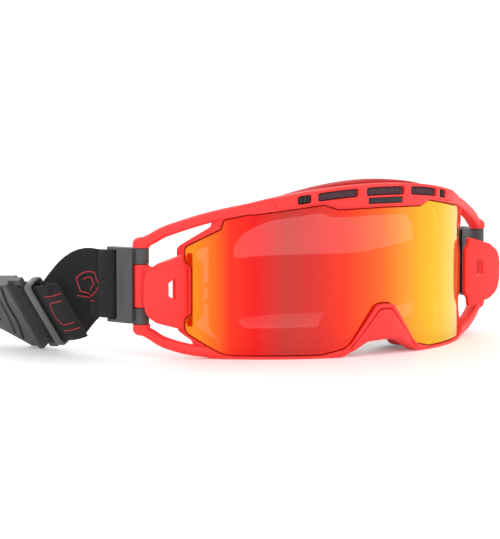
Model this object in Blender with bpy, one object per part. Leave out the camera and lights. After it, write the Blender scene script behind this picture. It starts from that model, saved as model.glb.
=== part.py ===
"""Motorcycle goggles with swivelling strap clips, lens lock levers and a quick-release strap buckle.

The goggles face -Y, +X is the wearer's left, +Z is up and they stand on z = 0. Front shells are flat
outlines of arc length and height, wrapped round one upright axis. Dimensions are in millimetres, and
MM turns them into metres when a mesh is made.
"""

import math

import bmesh
import bpy
from mathutils import Matrix, Vector

MM = 0.001
CENTRE_SHIFT = Vector((17.16, 17.57, 0.0))  # from the wrap axis to the middle of the whole object's box

WRAP_RADIUS = 107.4  # front face of the lens
STRIP_DEG = 5.0  # width of one flat facet of a wrapped shell
WIDE_STRIP_DEG = 7.5  # the same on hidden and soft pieces
GAP = 0.35

PIN_X = 111.0
PIN_Y = -50.0
PIN_RADIUS = 1.5
BORE_RADIUS = 1.85
BOSS_RADIUS = 4.8
UPPER_BOSS = (57.0, 63.0)
LOWER_BOSS = (11.5, 17.8)
CLIP_Z = (18.2, 56.6)
LUG_HEIGHT = 7.8
CLIP_LENGTH = 20.5
STRAP_WIDTH = 35.0
STRAP_THICK = 1.5
STRAP_Z = 37.4  # middle of the strap at the clips

RED = (0.85, 0.03, 0.025)
DARK = (0.07, 0.07, 0.075)
BLACK = (0.012, 0.012, 0.014)


def arc(degrees):
    """Arc length on the lens face for an angle from the middle of the goggles."""
    return WRAP_RADIUS * math.radians(degrees)


def wrapped(s, z, radius):
    angle = s / WRAP_RADIUS
    return Vector((radius * math.sin(angle), -radius * math.cos(angle), z))


# ---------------------------------------------------------------- outlines


def frame_top(degrees):
    return 88.6 - 0.006 * degrees**2


def face_top(degrees):
    return 90.2 - 0.0085 * degrees**2


def mirrored(half):
    """A closed outline from its right half, which runs from the bottom middle to the top middle."""
    left = [(-x, y, r) for x, y, r in reversed(half) if x > 0]
    return [p for p in half] + left


def grown(corners, distance):
    """The corners of an anticlockwise outline, moved out by a distance."""
    moved = []
    for i, (x, y, r) in enumerate(corners):
        before = Vector(corners[i - 1][:2])
        after = Vector(corners[(i + 1) % len(corners)][:2])
        here = Vector((x, y))
        first = (here - before).normalized()
        second = (after - here).normalized()
        out_first = Vector((first.y, -first.x))
        out_second = Vector((second.y, -second.x))
        bisector = (out_first + out_second).normalized()
        reach = distance / max(0.35, bisector.dot(out_first))
        turn = first.x * second.y - first.y * second.x
        radius = r + distance if turn > 0 else r - distance
        moved.append((x + bisector.x * reach, y + bisector.y * reach, max(0.3, radius) if r else 0))
    return moved


def rounded(corners, steps=3):
    """Points of a closed outline whose corners (x, y, radius) are rounded by arcs."""
    points = []
    for i, (x, y, r) in enumerate(corners):
        here = Vector((x, y))
        if r <= 0:
            points.append(here)
            continue
        to_before = Vector(corners[i - 1][:2]) - here
        to_after = Vector(corners[(i + 1) % len(corners)][:2]) - here
        angle = to_before.angle(to_after)
        if angle > math.radians(172):
            points.append(here)
            continue
        reach = min(r / math.tan(angle / 2), 0.45 * to_before.length, 0.45 * to_after.length)
        start = here + to_before.normalized() * reach
        end = here + to_after.normalized() * reach
        for k in range(steps + 1):
            t = k / steps
            points.append(start * (1 - t) ** 2 + here * 2 * t * (1 - t) + end * t * t)
    return points


def lens_corners():
    return mirrored([
        (0, 27.2, 0), (5, 26.8, 4), (19.5, 5.4, 11), (36, 1.9, 8),
        (arc(46), 1.9, 20), (arc(57), 13, 9), (arc(57), 19.5, 2), (arc(55), 22.5, 2),
        (arc(55), 46.5, 2), (arc(57), 49.5, 2), (arc(57), 56.5, 3), (arc(46.6), 66, 2),
        (arc(45.9), 70.6, 2), (arc(40), 73.2, 3), (arc(37), 73.5, 3), (arc(18.5), 78.2, 2),
        (arc(14.5), 75.6, 2), (0, 76.1, 0),
    ])


def frame_corners():
    top = [(arc(d), frame_top(d), 0) for d in (40, 32, 24, 16, 8, 0)]
    return mirrored([
        (0, 8.0, 0), (10, 7.4, 8), (25, 0, 10), (arc(50), 0, 6), (arc(54), 5, 3), (arc(55), 9, 2),
        (arc(59.3), 14, 5), (arc(59.3), 56.6, 4), (arc(49.6), 67.4, 2), (arc(48.5), 74.6, 3), *top,
    ])


def face_corners():
    top = [(arc(d), face_top(d), 0) for d in (38, 30, 20, 10, 0)]
    return mirrored([
        (0, 24, 0), (7, 23, 6), (21, 2, 8), (arc(44), 2, 14), (arc(51.5), 14, 8),
        (arc(51.5), 60, 8), (arc(46), 71, 6), *top,
    ])


def band_outline(start, end, low, high, top_curve, radius):
    """A band between two angles that keeps its distance from a curved top edge."""
    count = max(2, round(abs(end - start) / 6))
    angles = [start + (end - start) * i / count for i in range(count + 1)]
    bottom = [(arc(d), top_curve(d) - low, 0) for d in angles]
    upper = [(arc(d), top_curve(d) - high, 0) for d in reversed(angles)]
    corners = bottom + upper
    last = len(angles) - 1
    for i in (0, last, last + 1, len(corners) - 1):
        corners[i] = (*corners[i][:2], radius)
    return corners


VENTS = {"left": (-20.5, -9.0), "middle": (-6.4, 6.4), "right": (9.0, 20.5)}
GRILLES = {"left": (-26.0, -22.4), "right": (22.4, 26.0)}


def vent_corners(angles):
    return band_outline(*angles, 5.9, 1.6, frame_top, 1.4)


def insert_corners():
    return [(-arc(5.8), 78.4, 0.6), (arc(5.8), 78.4, 0.6), (arc(5.8), 81.6, 0.6), (-arc(5.8), 81.6, 0.6)]


# ---------------------------------------------------------------- mesh helpers


def clear_scene():
    for item in list(bpy.data.objects):
        bpy.data.objects.remove(item, do_unlink=True)


def material(name, colour, roughness, metallic=0.0, alpha=1.0):
    made = bpy.data.materials.new(name)
    made.use_nodes = True
    shader = made.node_tree.nodes["Principled BSDF"]
    shader.inputs["Base Color"].default_value = (*colour, 1)
    shader.inputs["Roughness"].default_value = roughness
    shader.inputs["Metallic"].default_value = metallic
    shader.inputs["Alpha"].default_value = alpha
    made.diffuse_color = (*colour, alpha)
    return made


def add_object(name, mesh, look, origin=None):
    """An object under the goggles' empty, from a bmesh in millimetres, with its origin where its axis is."""
    origin = origin or Vector((0, 0, 0))
    bmesh.ops.remove_doubles(mesh, verts=mesh.verts, dist=0.0005)
    bmesh.ops.recalc_face_normals(mesh, faces=mesh.faces)
    bmesh.ops.translate(mesh, verts=mesh.verts, vec=-origin)
    bmesh.ops.scale(mesh, verts=mesh.verts, vec=(MM, MM, MM))
    data = bpy.data.meshes.new(name)
    mesh.to_mesh(data)
    mesh.free()
    data.shade_smooth()
    data.set_sharp_from_angle(angle=math.radians(35))
    data.materials.append(look)
    made = bpy.data.objects.new(name, data)
    bpy.context.scene.collection.objects.link(made)
    made.parent = bpy.data.objects["goggles"]
    made.location = origin * MM
    return made


def combine(target, tool, operation):
    """Adds a Boolean whose operand is kept as a hidden helper."""
    tool.hide_render = True
    tool.display_type = "WIRE"
    change = target.modifiers.new(operation.lower() + "_" + tool.name, "BOOLEAN")
    change.operation = operation
    change.solver = "MANIFOLD"  # EXACT leaves open slivers where two shells' facets meet
    change.object = tool


def wrapped_plate(corners, holes, inner, outer, strip=STRIP_DEG):
    """A flat outline with holes, cut into strips, thickened between two radii and wrapped.

    inner and outer are radii, or functions of arc length and height. strip is a facet's angle."""
    flat = bmesh.new()
    edges = []
    for loop in [corners, *holes]:
        points = rounded(loop, 3 if strip == STRIP_DEG else 2)
        verts = [flat.verts.new((p.x, 0, p.y)) for p in points]
        edges += [flat.edges.new((verts[i - 1], verts[i])) for i in range(len(verts))]
    bmesh.ops.triangle_fill(flat, edges=edges, use_beauty=True, normal=(0, -1, 0))
    step = arc(strip)
    reach = max(abs(v.co.x) for v in flat.verts)
    for k in range(-int(reach / step), int(reach / step) + 1):
        geometry = flat.verts[:] + flat.edges[:] + flat.faces[:]
        bmesh.ops.bisect_plane(flat, geom=geometry, dist=1e-4, plane_co=(k * step, 0, 0), plane_no=(1, 0, 0))
    bmesh.ops.triangulate(flat, faces=flat.faces)
    return thickened(flat, inner, outer)


def thickened(flat, inner, outer):
    flat.verts.index_update()
    solid = bmesh.new()
    layers = []
    for radius in (inner, outer):
        at = radius if callable(radius) else (lambda s, z, fixed=radius: fixed)
        layers.append([solid.verts.new(wrapped(v.co.x, v.co.z, at(v.co.x, v.co.z))) for v in flat.verts])
    low, high = layers
    for face in flat.faces:
        ring = [v.index for v in face.verts]
        solid.faces.new([high[i] for i in ring])
        solid.faces.new([low[i] for i in reversed(ring)])
    for edge in flat.edges:
        if len(edge.link_faces) == 1:
            a, b = (v.index for v in edge.verts)
            solid.faces.new([low[a], low[b], high[b], high[a]])
    bmesh.ops.triangulate(solid, faces=solid.faces)
    flat.free()
    return solid


def extruded(points, low, high, place=None):
    """A plan outline extruded between two heights, then placed by a matrix."""
    mesh = bmesh.new()
    bottom = [mesh.verts.new((p[0], p[1], low)) for p in points]
    top = [mesh.verts.new((p[0], p[1], high)) for p in points]
    mesh.faces.new(list(reversed(bottom)))
    mesh.faces.new(top)
    for i in range(len(points)):
        mesh.faces.new([bottom[i - 1], bottom[i], top[i], top[i - 1]])
    if place:
        bmesh.ops.transform(mesh, matrix=place, verts=mesh.verts)
    bmesh.ops.triangulate(mesh, faces=mesh.faces)
    return mesh


def circle(radius, centre=(0, 0), sides=16):
    turns = [2 * math.pi * i / sides for i in range(sides)]
    return [(centre[0] + radius * math.cos(t), centre[1] + radius * math.sin(t)) for t in turns]


def smooth_path(points, per_span):
    """Points on a Catmull-Rom curve through the given ones."""
    padded = [points[0] * 2 - points[1], *points, points[-1] * 2 - points[-2]]
    found = []
    for i in range(1, len(padded) - 2):
        a, b, c, d = padded[i - 1 : i + 3]
        for k in range(per_span):
            t = k / per_span
            found.append(0.5 * (2 * b + (c - a) * t + (2 * a - 5 * b + 4 * c - d) * t**2
                                + (3 * b - a - 3 * c + d) * t**3))
    return [*found, points[-1]]


def lofted(rings):
    """A closed solid through rings of points, with flat ends."""
    mesh = bmesh.new()
    made = [[mesh.verts.new(p) for p in ring] for ring in rings]
    for first, second in zip(made, made[1:]):
        for i in range(len(first)):
            mesh.faces.new([first[i - 1], first[i], second[i], second[i - 1]])
    mesh.faces.new(list(reversed(made[0])))
    mesh.faces.new(made[-1])
    bmesh.ops.triangulate(mesh, faces=mesh.faces)
    return mesh


def ribbon(path, widths, width=STRAP_WIDTH, thick=STRAP_THICK):
    """A flat strap along a path, with the direction of its width at each point."""
    rings = []
    for i, point in enumerate(path):
        along = (path[min(i + 1, len(path) - 1)] - path[max(i - 1, 0)]).normalized()
        across = (widths[i] - along * widths[i].dot(along)).normalized()
        out = along.cross(across) * (thick / 2)
        half = across * (width / 2)
        rings.append([point - half - out, point + half - out, point + half + out, point - half + out])
    return lofted(rings)


# ---------------------------------------------------------------- frame


def arm_mesh(side, upper):
    """One outrigger arm, from the rim to the boss that holds the pin."""
    if upper:
        route = [(70, -78, 75.5), (79, -72, 72.8), (90, -63.5, 69.5), (100, -56.5, 65.5), (107.5, -51.6, 61.5)]
    else:
        route = [(72, -75.5, 3.8), (82, -68, 3.8), (92, -61, 4.6), (101.5, -55, 8.2), (107.5, -51.6, 13)]
    path = smooth_path([Vector((side * x, y, z)) for x, y, z in route], 2)
    rings = []
    for i, point in enumerate(path):
        along = (path[min(i + 1, len(path) - 1)] - path[max(i - 1, 0)]).normalized()
        out = along.cross(Vector((0, 0, 1))).normalized()
        rise = out.cross(along).normalized()
        rings.append([
            point + out * 3.6 * math.cos(t) + rise * 3.5 * math.sin(t)
            for t in [math.pi / 8 + math.pi / 4 * k for k in range(8)]
        ])
    return lofted(rings)


def boss_mesh(side, heights, radius=BOSS_RADIUS):
    return extruded(circle(radius, (side * PIN_X, PIN_Y)), *heights)


def make_outer_frame(red):
    lens = lens_corners()
    vents = [vent_corners(a) for a in [*VENTS.values(), *GRILLES.values()]]
    rim = wrapped_plate(frame_corners(), [grown(lens, 0.45), insert_corners(), *vents], 101.2, 108.4)
    frame = add_object("outer_frame", rim, red)
    ledge = wrapped_plate(grown(lens, 1.6), [grown(lens, -4)], 101.0, 104.2, WIDE_STRIP_DEG)
    combine(frame, add_object("frame_ledge", ledge, red), "UNION")
    for side, name in ((-1, "left"), (1, "right")):
        for upper, heights in ((True, UPPER_BOSS), (False, LOWER_BOSS)):
            label = f"{'upper' if upper else 'lower'}_{name}"
            arm = add_object(f"arm_{label}", arm_mesh(side, upper), red)
            combine(frame, arm, "UNION")
            combine(frame, add_object(f"boss_{label}", boss_mesh(side, heights), red), "UNION")
            bore = (heights[0] - 1, heights[1] + 1)
            hole = add_object(f"bore_{label}", boss_mesh(side, bore, BORE_RADIUS), red)
            combine(frame, hole, "DIFFERENCE")
    opening = wrapped_plate(grown(lens, 0.44), [], 104.3, 114)
    combine(frame, add_object("lens_opening", opening, red), "DIFFERENCE")


def make_brow(red, black, foam):
    top = [(arc(d), frame_top(d) - 0.9, 0) for d in (32.5, 24, 16, 8, 0)]
    corners = mirrored([
        (0, 77.4, 0), (arc(14), 77.1, 2), (arc(18.5), 79.8, 2), (arc(31.5), 76.6, 1.5), *top,
    ])
    holes = [vent_corners(a) for a in [*VENTS.values(), *GRILLES.values()]]
    add_object("brow_cover", wrapped_plate(corners, [*holes, insert_corners()], 108.7, 110.1), red)
    add_object("brow_insert", wrapped_plate(grown(insert_corners(), -GAP), [], 105, 109.4), black)
    for name, angles in VENTS.items():
        add_object(f"vent_foam_{name}", wrapped_plate(grown(vent_corners(angles), -GAP), [], 103, 108.2), foam)
    for name, angles in GRILLES.items():
        add_object(f"vent_grille_{name}", wrapped_plate(grown(vent_corners(angles), -GAP), [], 103, 109), black)


def nose_bulge(s, z):
    return 110.2 + 1.2 * max(0.0, 1 - abs(s) / 16)


def make_nose_bridge(red):
    corners = mirrored([
        (0, 8.9, 0), (10, 8.2, 8), (20, 2.4, 3), (19.5, 5.2, 2), (14.5, 11, 6), (3.6, 23.6, 2.5), (0, 23.8, 0),
    ])
    add_object("nose_bridge", wrapped_plate(corners, [], 108.75, nose_bulge), red)


def make_lens(glass, black):
    lens = lens_corners()
    add_object("lens", wrapped_plate(lens, [], 105.9, WRAP_RADIUS), glass)
    add_object("lens_gasket", wrapped_plate(grown(lens, -0.8), [grown(lens, -3.2)], 104.65, 105.55,
                                             WIDE_STRIP_DEG), black)


def face_depth(s, z):
    """Radius of the back edge of the face frame, which stands off more at the nose than at the temples."""
    return 90.5 + 5.0 * min(1.0, abs(s) / arc(50)) ** 2


def offset_depth(distance):
    return lambda s, z: face_depth(s, z) + distance


def make_face_frame(rubber):
    outline = face_corners()
    wall = wrapped_plate(outline, [grown(outline, -3.6)], offset_depth(0), 100.7, WIDE_STRIP_DEG)
    add_object("face_frame", wall, rubber)


def make_foam(foam, fleece):
    layers = (("foam_backing", -0.3, -4.3, foam), ("foam_core", -4.6, -10.1, foam),
              ("foam_fleece", -10.4, -12.2, fleece))
    for name, front, back, look in layers:
        outline = face_corners()
        hole = grown(outline, -11)
        plate = wrapped_plate(grown(outline, -0.8), [hole], offset_depth(back), offset_depth(front), WIDE_STRIP_DEG)
        add_object(name, plate, look)


# ---------------------------------------------------------------- clips and levers


def clip_matrix(side):
    """Clip space: +x runs from the pin along the strap, +y points outwards, z is height."""
    angle = math.radians(112 if side < 0 else 76)
    turn = Matrix.Rotation(angle, 4, "Z")
    flip = Matrix.Diagonal((1, 1 if side < 0 else -1, 1, 1))
    return Matrix.Translation((side * PIN_X, PIN_Y, 0)) @ turn @ flip


def make_clip(side, name, grey, webbing):
    pin = Vector((side * PIN_X, PIN_Y, 0))
    place = clip_matrix(side)
    low, high = CLIP_Z
    lug = [(4.0 * math.cos(t), 4.0 * math.sin(t)) for t in [math.radians(60 + 24 * k) for k in range(11)]]
    plan = [*lug, (6, -3.2), (14, -2.4), (CLIP_LENGTH, -2.2), (CLIP_LENGTH, 1.6), (18, 2.6), (6, 4.2), (4, 4.2)]
    clip = add_object(f"clip_{name}", extruded(plan, low, high, place), grey, pin)
    relief = extruded(circle(6.4), low + LUG_HEIGHT, high - LUG_HEIGHT, place)
    combine(clip, add_object(f"clip_relief_{name}", relief, grey), "DIFFERENCE")
    box = [(13.2, -6), (17.0, -6), (17.0, 8), (13.2, 8)]
    slot = extruded(box, low + 1.3, high - 1.3, place)
    combine(clip, add_object(f"clip_slot_{name}", slot, grey), "DIFFERENCE")
    recess = extruded([(16.9, -6), (22, -6), (22, -1.6), (16.9, -1.6)], low + 1.3, high - 1.3, place)
    combine(clip, add_object(f"clip_recess_{name}", recess, grey), "DIFFERENCE")
    front = extruded([(16.9, 1.2), (22, 1.2), (22, 8), (16.9, 8)], low + 1.3, high - 1.3, place)
    combine(clip, add_object(f"clip_front_{name}", front, grey), "DIFFERENCE")
    bore = extruded(circle(BORE_RADIUS), low - 1, high + 1, place)
    combine(clip, add_object(f"clip_bore_{name}", bore, grey), "DIFFERENCE")
    make_sleeve(name, place, webbing, pin)
    spindle = boss_mesh(side, (LOWER_BOSS[0] + 0.5, UPPER_BOSS[1] - 0.5), PIN_RADIUS)
    add_object(f"pivot_pin_{name}", spindle, material(f"steel_{name}", (0.6, 0.6, 0.62), 0.3, 1.0), pin)


def make_sleeve(name, place, webbing, pin):
    """The strap end, folded round the clip's bar and sewn down on itself."""
    outer = [(14.9, -3.4), (14.9, 3.0), (24, 3.0), (30.5, 1.4), (30.5, -1.8), (24, -3.4)]
    sleeve = extruded(outer, STRAP_Z - STRAP_WIDTH / 2, STRAP_Z + STRAP_WIDTH / 2, place)
    made = add_object(f"strap_sleeve_{name}", sleeve, webbing, pin)
    bar = [(16.65, -1.95), (CLIP_LENGTH + GAP, -1.95), (CLIP_LENGTH + GAP, 1.55), (16.65, 1.55)]
    hole = extruded(bar, STRAP_Z - 25, STRAP_Z + 25, place)
    combine(made, add_object(f"sleeve_hole_{name}", hole, webbing), "DIFFERENCE")


TAB_FRONT = -63.9  # front face of a lens lock's tab, along Y
TAB_THICK = 3.2
KNUCKLE = (27.0, 47.6)
KNUCKLE_RADIUS = 4.6


def tab_outline():
    """The tab seen from the front on the wearer's left: x and height, with corner radii."""
    return [
        (91.9, 22.8, 1), (94.0, 19.4, 1), (94.3, 15.0, 1), (108.8, 19.0, 3), (115.2, 23.0, 6), (117.0, 30.0, 6),
        (117.0, 39.5, 6), (115.2, 45.2, 6), (108.8, 49.4, 3), (94.3, 53.4, 1), (94.0, 49.6, 1), (91.9, 46.2, 1),
    ]


def upright(points, side, near, far):
    """An outline of x and height, mirrored to a side and extruded between two values of Y."""
    mesh = extruded([(side * x, z) for x, z in points], near, far)
    stand = Matrix(((1, 0, 0, 0), (0, 0, 1, 0), (0, 1, 0, 0), (0, 0, 0, 1)))
    bmesh.ops.transform(mesh, matrix=stand, verts=mesh.verts)
    return mesh


def make_lens_lock(side, name, red):
    """A forward-facing tab from the lens edge outwards, carried by a knuckle round the pin behind it."""
    pin = Vector((side * PIN_X, PIN_Y, 0))
    front, back = TAB_FRONT, TAB_FRONT + TAB_THICK
    outline = [(p.x, p.y) for p in rounded(tab_outline())]
    lock = add_object(f"lens_lock_{name}", upright(outline, side, front, back), red, pin)
    window = [(100.3, 31.4), (102.8, 33.0), (102.8, 39.4), (100.3, 41.0)]
    combine(lock, add_object(f"lock_window_{name}", upright(window, side, front - 1, back + 1), red), "DIFFERENCE")
    low, high = KNUCKLE
    web = [(PIN_X - 3.6, low), (PIN_X + 3.6, low), (PIN_X + 3.6, high), (PIN_X - 3.6, high)]
    combine(lock, add_object(f"lock_web_{name}", upright(web, side, back - 0.6, PIN_Y), red), "UNION")
    knuckle = boss_mesh(side, KNUCKLE, KNUCKLE_RADIUS)
    combine(lock, add_object(f"lock_knuckle_{name}", knuckle, red), "UNION")
    bore = boss_mesh(side, (low - 5, high + 5), BORE_RADIUS)
    combine(lock, add_object(f"lock_bore_{name}", bore, red), "DIFFERENCE")


# ---------------------------------------------------------------- straps and buckle

BAR_CENTRE = Vector((-138.0, 8.0, 20.6))
BUCKLE_ROLL = math.radians(33)
STRAP_PITCH = math.radians(-4)
STRAIGHT = 16.5  # straight length of folded strap beside the buckle's bar
FOLD_RADIUS = 2.6  # from the buckle's bar to the middle of the strap's thickness
ADJUSTER_LENGTH = 8.0
ADJUSTER_THICK = 8.8
ADJUSTER_WALL = 1.05
ADJUSTER_RIM = 3.0


def buckle_axes(pitch):
    """Directions along the strap towards the buckle, outwards, and up its width."""
    along = Vector((-0.17, 0.985, 0)).normalized()
    along = (along * math.cos(pitch) + Vector((0, 0, 1)) * math.sin(pitch)).normalized()
    out = Vector((along.y, -along.x, 0)).normalized() * -1
    up = out.cross(along) * -1
    turned = up * math.cos(BUCKLE_ROLL) + out * math.sin(BUCKLE_ROLL)
    return along, turned.cross(along).normalized(), turned


def make_left_strap(webbing):
    along, out, up = buckle_axes(STRAP_PITCH)
    place = clip_matrix(-1)
    start = place @ Vector((33.0, -0.2, STRAP_Z))
    inner = BAR_CENTRE - out * FOLD_RADIUS
    straight = inner - along * STRAIGHT
    level = place @ Vector((34.5, -0.2, STRAP_Z))
    lead = smooth_path([level, level.lerp(straight, 0.5), straight - along * 1.5, straight], 3)
    lead = [start, *lead]
    path = [*lead, inner - along * 8, inner]
    turns = [math.pi * k / 6 for k in range(1, 6)]
    path += [BAR_CENTRE + (along * math.sin(t) - out * math.cos(t)) * FOLD_RADIUS for t in turns]
    outer = BAR_CENTRE + out * FOLD_RADIUS
    path += [outer, outer - along * 6 - out * 1.4, outer - along * 15 - out * 1.6]
    widths = []
    for i, point in enumerate(path):
        share = min(1.0, i / (len(lead) - 1))
        widths.append(Vector((0, 0, 1)).lerp(up, share).normalized())
    add_object("strap_left", ribbon(path, widths), webbing)


def frame_matrix(centre, along, out, up):
    """A space whose x runs along the strap, y outwards and z up its width."""
    rows = Matrix((along, out, up)).transposed().to_4x4()
    return Matrix.Translation(centre) @ rows


def strap_block(place, start, end, middle, half_thick, half_width):
    """A block across the strap, between two distances along it and centred a distance outwards."""
    low, high = middle - half_thick, middle + half_thick
    mesh = extruded([(low, -half_width), (high, -half_width), (high, half_width), (low, half_width)], start, end)
    to_local = Matrix(((0, 0, 1, 0), (1, 0, 0, 0), (0, 1, 0, 0), (0, 0, 0, 1)))
    bmesh.ops.transform(mesh, matrix=place @ to_local, verts=mesh.verts)
    return mesh


def make_adjuster(name, place, at, middle, grey):
    """A loop round both layers of the strap."""
    origin = place @ Vector((at, middle, 0))
    reach, half = ADJUSTER_LENGTH / 2, STRAP_WIDTH / 2
    block = strap_block(place, at - reach, at + reach, middle, ADJUSTER_THICK / 2, half + ADJUSTER_RIM)
    loop = add_object(name, block, grey, origin)
    way = strap_block(place, at - reach - 2, at + reach + 2, middle, ADJUSTER_THICK / 2 - ADJUSTER_WALL, half + 0.5)
    combine(loop, add_object(f"{name}_hole", way, grey), "DIFFERENCE")


def buckle_outline():
    return [(6.5, 20.5, 2), (6.5, -20.5, 2), (16, -19, 6), (32, -9, 12), (46, -4, 4), (50, -2, 2),
            (50, 15, 3), (40, 20.5, 6)]


def prism(points, low, high, place):
    """An outline in the strap's plane (along, up), thick in the outward direction."""
    mesh = extruded(points, low, high)
    to_local = Matrix(((1, 0, 0, 0), (0, 0, 1, 0), (0, 1, 0, 0), (0, 0, 0, 1)))
    bmesh.ops.transform(mesh, matrix=place @ to_local, verts=mesh.verts)
    return mesh


def slab(name, place, along, up, low, high, look):
    points = [(along[0], up[0]), (along[1], up[0]), (along[1], up[1]), (along[0], up[1])]
    return add_object(name, prism(points, low, high, place), look)


def make_socket(place, grey):
    points = [(p.x, p.y) for p in rounded(buckle_outline(), 2)]
    socket = add_object("buckle_socket", prism(points, -4.2, 4.2, place), grey)
    parts = (((-1.15, 1.15), (-21, 21), -1.15, 1.15), ((-1.3, 8), (18.6, 21.4), -1.6, 1.6),
             ((-2.2, 4.0), (-21.5, -18.6), -1.8, 1.8))
    for i, (along, up, low, high) in enumerate(parts):
        combine(socket, slab(f"socket_bar_{i}", place, along, up, low, high, grey), "UNION")
    mouth = slab("socket_mouth", place, (28, 52), (0.5, 12.5), -2.4, 2.4, grey)
    combine(socket, mouth, "DIFFERENCE")
    for i, (along, up) in enumerate((((22.6, 37.4), (16.5, 24)), ((8.6, 19.4), (-24, -14.6)))):
        well = slab(f"button_well_{i}", place, along, up, -2.4, 2.4, grey)
        combine(socket, well, "DIFFERENCE")


def make_buttons(place, grey):
    upper = slab("buckle_button_upper", place, (23, 37), (18.7, 22.6), -2.0, 2.0, grey)
    lower = slab("buckle_button_lower", place, (9, 19), (-21.4, -17.0), -2.0, 2.0, grey)
    return upper, lower


RIGHT_ROUTE = [
    (119.9, -13.0, 36.8), (120.6, -7.0, 35.0), (120.6, 8, 30.6), (118.6, 22, 26.0), (113.0, 37, 22),
    (103, 52, 18.6), (88, 66, 17.8), (68, 74, 17.6), (48, 75, 17.6), (30, 68, 17.6),
]


def make_right_strap(webbing):
    points = [Vector(p) for p in RIGHT_ROUTE]
    path = smooth_path(points, 3)
    add_object("strap_right", ribbon(path, [Vector((0, 0, 1))] * len(path)), webbing)


def plug_place():
    end = Vector(RIGHT_ROUTE[-1])
    along = (end - Vector(RIGHT_ROUTE[-2])).normalized()
    out = Vector((-along.y, along.x, 0))
    return frame_matrix(end, along, out, Vector((0, 0, 1)))


def make_plug(place, grey):
    plug = slab("buckle_plug", place, (0.5, 9), (-17.6, 18.6), -3.2, 3.2, grey)
    combine(plug, slab("plug_neck", place, (8, 17), (-9, 9), -2.6, 2.6, grey), "UNION")
    for i, up in enumerate(((3.2, 6.2), (-6.2, -3.2))):
        combine(plug, slab(f"plug_prong_{i}", place, (16, 31), up, -1.9, 1.9, grey), "UNION")


def main():
    clear_scene()
    goggles = bpy.data.objects.new("goggles", None)
    goggles.location = CENTRE_SHIFT * MM
    bpy.context.scene.collection.objects.link(goggles)
    red = material("red_nylon", RED, 0.42)
    rubber = material("red_rubber", (0.6, 0.02, 0.02), 0.6)
    grey = material("dark_nylon", DARK, 0.45)
    black = material("black_gloss", BLACK, 0.2)
    foam = material("foam", (0.03, 0.025, 0.028), 0.95)
    fleece = material("fleece", (0.02, 0.02, 0.02), 1.0)
    webbing = material("webbing", (0.015, 0.015, 0.017), 0.8)
    glass = material("mirror_lens", (1.0, 0.25, 0.05), 0.05, 0.6, 0.8)
    make_outer_frame(red)
    make_brow(red, black, foam)
    make_nose_bridge(red)
    make_lens(glass, black)
    make_face_frame(rubber)
    make_foam(foam, fleece)
    for side, name in ((-1, "left"), (1, "right")):
        make_clip(side, name, grey, webbing)
        make_lens_lock(side, name, red)
    make_left_strap(webbing)
    left_strap = frame_matrix(BAR_CENTRE, *buckle_axes(STRAP_PITCH))
    make_adjuster("adjuster_left", left_strap, -9.0, -0.6, grey)
    make_socket(left_strap, grey)
    make_buttons(left_strap, grey)
    make_right_strap(webbing)
    start, end = Vector(RIGHT_ROUTE[1]), Vector(RIGHT_ROUTE[2])
    along = (end - start).normalized()
    out = Vector((along.y, -along.x, 0)).normalized()
    right_place = frame_matrix(start, along, out, out.cross(along) * -1)
    make_adjuster("adjuster_right", right_place, 9.0, 0.0, grey)
    make_plug(plug_place(), grey)


main()
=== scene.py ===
"""The looks of the motorcycle goggles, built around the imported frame. Lengths are in millimetres until MM."""

import math

import bmesh
import bpy
from mathutils import Matrix, Vector

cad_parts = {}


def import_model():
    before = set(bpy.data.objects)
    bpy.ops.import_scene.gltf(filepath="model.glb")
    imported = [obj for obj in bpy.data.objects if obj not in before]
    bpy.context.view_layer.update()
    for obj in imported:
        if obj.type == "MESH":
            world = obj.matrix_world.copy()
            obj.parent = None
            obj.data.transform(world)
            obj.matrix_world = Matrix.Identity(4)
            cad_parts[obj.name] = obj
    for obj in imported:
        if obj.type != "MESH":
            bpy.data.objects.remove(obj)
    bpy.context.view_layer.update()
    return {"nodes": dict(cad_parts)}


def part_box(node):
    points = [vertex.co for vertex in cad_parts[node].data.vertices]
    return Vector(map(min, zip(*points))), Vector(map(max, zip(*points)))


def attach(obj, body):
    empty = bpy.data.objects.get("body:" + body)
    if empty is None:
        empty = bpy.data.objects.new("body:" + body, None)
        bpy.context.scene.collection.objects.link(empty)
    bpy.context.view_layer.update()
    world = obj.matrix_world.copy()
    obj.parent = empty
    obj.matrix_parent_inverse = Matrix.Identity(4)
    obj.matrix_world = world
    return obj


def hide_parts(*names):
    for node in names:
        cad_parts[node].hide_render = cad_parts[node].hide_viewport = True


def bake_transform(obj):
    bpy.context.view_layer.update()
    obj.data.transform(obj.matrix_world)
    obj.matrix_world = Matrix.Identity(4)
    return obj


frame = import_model()

MM = 0.001
WRAP = 107.4  # radius of the lens's front face about the upright wrap axis
LENS_LOW, LENS_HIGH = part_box("lens")
AXIS = Vector(((LENS_LOW[0] + LENS_HIGH[0]) / 2, LENS_LOW[1] + WRAP * MM, 0))
PIN_X, PIN_Y = 111.0, -50.0
STRAP_WIDTH = 35.0
STRAP_THICK = 1.5
STRAP_Z = 37.4
VIEW_WIDTH = 0.263  # metres across the picture at the camera's target
SENSOR_WIDTH = 36
EDGE_TURN = (0, 30, 60, 90)  # angles of a rounded edge's rings
SIDES = ((-1, "left"), (1, "right"))


# ---------------------------------------------------------------- camera, light and floor


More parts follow.
